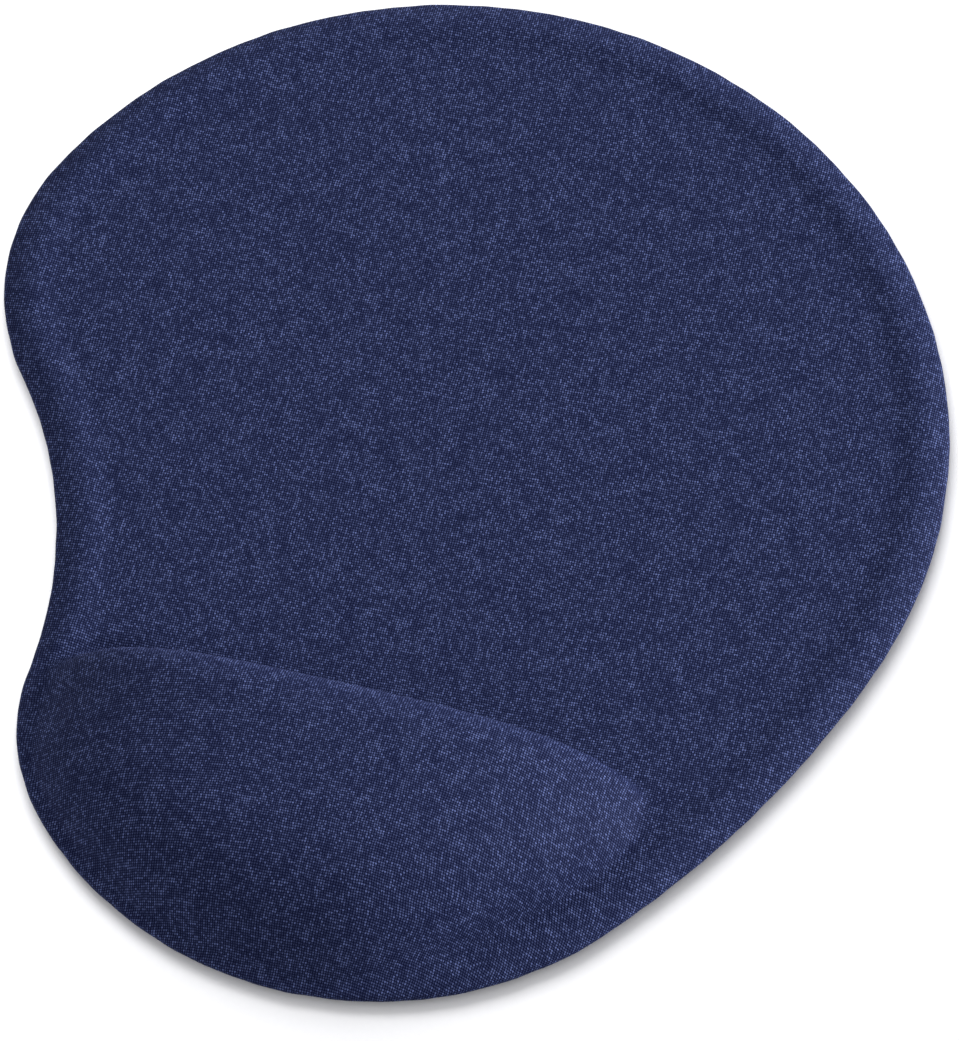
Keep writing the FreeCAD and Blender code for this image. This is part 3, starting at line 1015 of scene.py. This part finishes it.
# %% [markdown]
# ## Foam
#
# The pad is closed-cell rubber foam, dark grey and dull. Its cells are about
# 0.3 mm wide, cut open on the surface as tiny cups, so each cell is a shade
# lighter or darker and its middle lies deeper than its walls.

# %% Foam material
# Three cells in a millimetre, and how deep a cut cell is in millimetres.
CELLS_PER_MM, CELL_DEPTH = 3.0, 0.15


def foam_material():
    """Dull dark grey, each cell its own shade and a small cup."""
    material, tree = new_material("closed_cell_foam", 0.9, 1.5, Specular_IOR_Level=0.3)
    cells = add(tree, "TexVoronoi", {"Vector": millimetres(tree), "Scale": CELLS_PER_MM})
    shade = add(tree, "SeparateColor", [cells["Color"]])[0]
    return surface(material, shade, ("1f1f22", "35353a"),
                   height=cells["Distance"], strength=0.6, depth=CELL_DEPTH)


dress(foam_material(), foam)

# %% [markdown]
# ## Gel and its pouch
#
# The filling is a soft polyurethane gel, cloudy like thin milk, and the pouch
# is a clear film drawn tight over it. Light passes into both, so both have
# some transmission and the gel scatters it as well. The film's only marks are
# long shallow wrinkles from when it was welded.

# %% Gel and pouch materials
# Clouds of the gel about 11 mm wide, wrinkles of the film about 7 mm apart.
MILK_PER_MM = 0.09
WRINKLES_PER_MM, WRINKLE_DEPTH = 0.15, 0.3


def gel_material():
    """Cloudy gel that scatters the light which enters it within about 3 mm."""
    material, tree = new_material(
        "soft_gel", 0.18, 1.48, Transmission_Weight=0.35,
        Subsurface_Weight=0.6, Subsurface_Scale=3 * MM)
    milk = add(tree, "TexNoise", {"Vector": millimetres(tree), "Scale": MILK_PER_MM, "Detail": 3.0})[0]
    return surface(material, milk, ("b9c2bc", "e2e6dc"))


def pouch_material():
    """Clear glossy film with shallow wrinkles, painted a little darker in their hollows as shade."""
    material, tree = new_material("clear_pouch_film", 0.12, 1.5, Transmission_Weight=0.8)
    wrinkle = add(tree, "TexNoise", {"Vector": millimetres(tree), "Scale": WRINKLES_PER_MM,
                                     "Distortion": 1.5})[0]
    # The wrinkles' hollows get the darker colour: painted shade.
    return surface(material, wrinkle, ("dfe3df", "f0f2ee"),
                   height=wrinkle, strength=0.5, depth=WRINKLE_DEPTH)


dress(gel_material(), gel)
dress(pouch_material(), upper_skin, lower_skin)

# %% [markdown]
# ## Non-slip sheet
#
# The base is a thin sheet of black rubber, pressed against a roller cut with
# small squares while it was soft. The squares grip the table; the grooves let
# the air out. Handling has left it dusty, so it is a little paler in patches.

# %% Rubber material
# Pitch and depth of the squares, and where the groove starts and is full, in
# shares of the pitch from a square's middle.
SQUARE, SQUARE_DEPTH = 1.6, 0.15
GROOVE_START, GROOVE_FULL = 0.36, 0.46
DUST_PER_MM = 0.05


def rubber_material():
    """Black squares with grooves between them, dusty in patches on top, and painted darker in the
    grooves as shade.
    """
    material, tree = new_material(
        "embossed_black_rubber", 0.68, 1.52, Specular_IOR_Level=0.35)
    place = millimetres(tree)
    cell = add(tree, "VectorMath", [place, (SQUARE, SQUARE, SQUARE)], operation="DIVIDE")[0]
    cell = add(tree, "VectorMath", [cell], operation="FRACTION")[0]
    cell = add(tree, "VectorMath", [cell, (0.5, 0.5, 0.5)], operation="SUBTRACT")[0]
    cell = add(tree, "VectorMath", [cell], operation="ABSOLUTE")[0]
    x, y, _ = add(tree, "SeparateXYZ", [cell])
    reach = add(tree, "Math", [x, y], operation="MAXIMUM")[0]
    groove = add(tree, "MapRange", [reach, GROOVE_START, GROOVE_FULL, 0.0, 1.0],
                 interpolation_type="SMOOTHSTEP")[0]
    dust_and_groove_shade = add(tree, "TexNoise", {"Vector": place, "Scale": DUST_PER_MM, "Detail": 5.0})[0]
    # Painted shade: the grooves are darkest and the dust shows only on the squares.
    dust_and_groove_shade = add(tree, "Math", [dust_and_groove_shade, groove], operation="SUBTRACT", use_clamp=True)[0]
    return surface(material, dust_and_groove_shade, ("0e0e10", "2a2a2c"),
                   height=groove, strength=0.8, depth=SQUARE_DEPTH, invert=True)


dress(rubber_material(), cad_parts["base_sheet"])

# %% [markdown]
# ## The studio
#
# The pad lies on a sheet of white paper. The room fills in softly from all
# round; a low softbox on the right, a little behind, draws the cushion and
# the rim, and a weak one behind lifts the far slopes. The low lamp would
# throw a long shadow over the paper, so the paper is left out of its light
# and has a lamp of its own, whose shadow is the soft one in front of the pad.

# %% Paper
# Half the sheet's side, in millimetres.
PAPER_HALF = 3000
# Real fibres, about 0.03 mm wide, are too fine to show, so these are far coarser.
FIBRES_PER_MM = 0.8
corners = [(x * PAPER_HALF, y * PAPER_HALF, 0) for x, y in ((-1, -1), (1, -1), (1, 1), (-1, 1))]
floor = make_piece("paper_sweep", corners, [(0, 1, 2, 3)])


def paper_material():
    """White matt paper with hardly visible fibres."""
    material, tree = new_material("white_paper", 0.9, 1.5, Specular_IOR_Level=0.1)
    fibre = add(tree, "TexNoise", {"Vector": millimetres(tree), "Scale": FIBRES_PER_MM,
                                   "Detail": 6.0})[0]
    return surface(material, fibre, ("f4f4f7", "f8f8fa"))


dress(paper_material(), floor)

# %% Lamps
LAMP_DISTANCE = 2.0


def softbox(name, azimuth, elevation, size, ground_light):
    """A square lamp that faces the pad. Azimuth 0 is behind the pad and 90 to its right."""
    data = bpy.data.lights.new(name, "AREA")
    data.shape = "SQUARE"
    data.size = size
    a, e = math.radians(azimuth), math.radians(elevation)
    # Power that gives level ground the wanted light, where the room gives 1 at strength 1.
    data.energy = ground_light * (math.pi * LAMP_DISTANCE) ** 2 / math.sin(e)
    lamp = bpy.data.objects.new(name, data)
    way = Vector((math.sin(a) * math.cos(e), math.cos(a) * math.cos(e), math.sin(e)))
    lamp.location = way * LAMP_DISTANCE
    lamp.rotation_mode = "QUATERNION"
    lamp.rotation_quaternion = way.to_track_quat("Z", "Y")
    bpy.context.scene.collection.objects.link(lamp)
    print("%s: %.1f W from %d, %d degrees" % (name, data.energy, azimuth, elevation))
    return lamp


def link_floor(lamp, state):
    """Leaves the paper out of a lamp's light, or gives the lamp to the paper alone."""
    receivers = bpy.data.collections.new(lamp.name + "_receivers")
    receivers.objects.link(floor)
    receivers.collection_objects[0].light_linking.link_state = state
    lamp.light_linking.receiver_collection = receivers


ROOM_LIGHT, SIDE_LIGHT, BACK_LIGHT, PAPER_LIGHT = 0.70, 0.66, 0.15, 0.75
side_lamp = softbox("side_softbox", 62, 17, 1.0, SIDE_LIGHT)
back_lamp = softbox("back_softbox", -29, 38, 1.8, BACK_LIGHT)
paper_lamp = softbox("paper_softbox", -28, 36, 2.0, PAPER_LIGHT)
link_floor(side_lamp, "EXCLUDE")
link_floor(paper_lamp, "INCLUDE")
world = bpy.data.worlds.new("studio")
bpy.context.scene.world = world
world.use_nodes = True
room = world.node_tree.nodes["Background"]
room.inputs["Color"].default_value = (1, 1, 1, 1)
room.inputs["Strength"].default_value = ROOM_LIGHT
bpy.context.scene.view_settings.view_transform = "Standard"
print("light on level cloth: %.2f" % (ROOM_LIGHT + SIDE_LIGHT + BACK_LIGHT))

# %% [markdown]
# ## The camera
#
# The pad is seen from the front, a little from the right and from well above,
# with a long lens, so that its outline is hardly drawn in by distance.

# %% Camera
VIEW_AZIMUTH = math.radians(14.3)
VIEW_ELEVATION = math.radians(61)
VIEW_DISTANCE = 1.85
SENSOR_HEIGHT, LENS = 36, 293.9
# The point on the table, in millimetres, that the picture is centred on.
LOOK_AT = (9.71, -3.55, 0)
target = Vector(LOOK_AT) * MM
eye = bpy.data.cameras.new("camera")
eye.sensor_fit = "VERTICAL"
eye.sensor_height = SENSOR_HEIGHT
eye.lens = LENS
camera = bpy.data.objects.new("camera", eye)
camera.location = target + VIEW_DISTANCE * Vector((
    math.sin(VIEW_AZIMUTH) * math.cos(VIEW_ELEVATION),
    -math.cos(VIEW_AZIMUTH) * math.cos(VIEW_ELEVATION),
    math.sin(VIEW_ELEVATION)))
camera.rotation_euler = (math.pi / 2 - VIEW_ELEVATION, 0, VIEW_AZIMUTH)
bpy.context.scene.collection.objects.link(camera)
bpy.context.scene.camera = camera
print("the picture spans %.0f mm of height" % (VIEW_DISTANCE / MM * SENSOR_HEIGHT / LENS))
